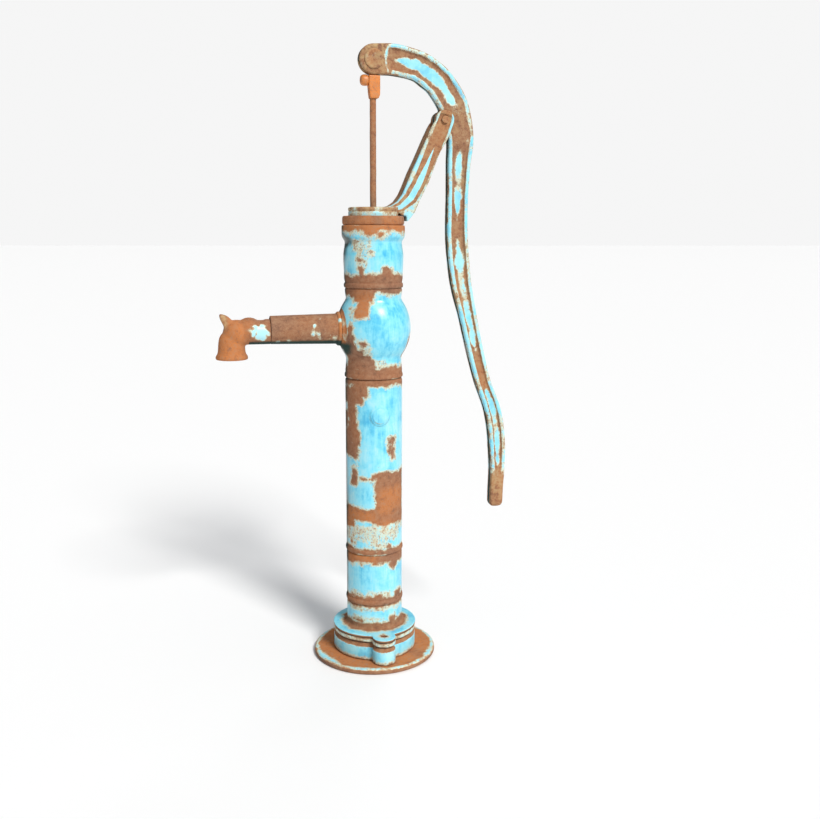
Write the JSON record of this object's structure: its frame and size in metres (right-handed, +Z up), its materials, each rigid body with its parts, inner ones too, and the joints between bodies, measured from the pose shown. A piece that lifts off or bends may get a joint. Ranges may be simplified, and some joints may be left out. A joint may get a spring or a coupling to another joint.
{
  "type": "hand well pump",
  "caption": "Cast-iron hand well pump: round foot, tall column with a side spout, bracketed cap, hanging lever, and rod, piston and valves inside.",
  "frame": {"origin": "on the ground, under the middle of the pump's overall box; the column's axis stands 13.5 mm to +X of it", "axes": "+Z up along the column; -X along the spout; the lever hangs to +X; -Y is the side with the small boss"},
  "size_m": [0.5856, 0.25, 1.2074],
  "materials": {
    "blue_paint": "worn gloss paint over rusting iron",
    "rust": "matt brown rust",
    "orange_rust": "matt orange rust",
    "leather": "oiled, dark",
    "brass": "dull",
    "steel": "rusty",
    "iron": "as cast"
  },
  "bodies": {
    "stand": {"base_plate": "rust", "foot_casting": "blue_paint", "foot_gasket": "leather", "valve_plate": "blue_paint", "flange_gasket": "leather", "flap_clip": "brass", "flange_stud_front": "rust", "flange_stud_back": "rust", "column_foot": "blue_paint", "lower_column": "blue_paint", "column_tube": "blue_paint", "cylinder_liner": "brass", "boss_plug": "rust", "spout_body": "blue_paint", "spout_collar": "orange_rust", "spout_pipe": "rust", "spout_nozzle": "orange_rust", "head_barrel": "blue_paint", "clamp_ring": "rust", "cap_gasket": "leather", "cap_bracket": "blue_paint", "fulcrum_pin": "rust", "fulcrum_washer": "steel", "fulcrum_split_pin": "steel"},
    "handle": {"lever": "blue_paint", "eye_pin": "rust", "eye_washer": "steel", "eye_split_pin": "steel"},
    "rod": {"rod_head": "orange_rust", "rod_set_screw": "orange_rust", "pump_rod": "rust", "rod_end": "iron"},
    "piston": {"piston_yoke": "iron", "yoke_pin": "steel", "piston_body": "brass", "cup_leather": "leather", "piston_follower": "brass"},
    "piston_valve": {"piston_valve": "brass"},
    "foot_valve": {"foot_valve_flap": "leather", "flap_weight": "iron", "flap_screw": "brass", "flap_nut": "brass"}
  },
  "joints": [
    {"name": "handle_pivot", "type": "hinge", "parent": "stand", "child": "handle", "pos_m": [0.1505, 0, 1.072], "axis": [0, -1, 0], "range_deg": [0, 50]},
    {"name": "rod_pivot", "type": "hinge", "parent": "handle", "child": "rod", "pos_m": [0.0135, 0, 1.178], "axis": [0, -1, 0], "range_deg": [-47, 0]},
    {"name": "piston_slide", "type": "slide", "parent": "stand", "child": "piston", "axis": [0, 0, -1], "range_m": [0, 0.14]},
    {"name": "piston_valve_lift", "type": "slide", "parent": "piston", "child": "piston_valve", "axis": [0, 0, 1], "range_m": [0, 0.006]},
    {"name": "foot_valve_lift", "type": "hinge", "parent": "stand", "child": "foot_valve", "pos_m": [0.045, 0, 0.0608], "axis": [0, 1, 0], "range_deg": [0, 30]}
  ],
  "couplings": [
    {"joint": "rod_pivot", "follows": "handle_pivot", "ratio": -0.921},
    {"joint": "piston_slide", "follows": "handle_pivot", "m_per_rad": 0.159}
  ]
}
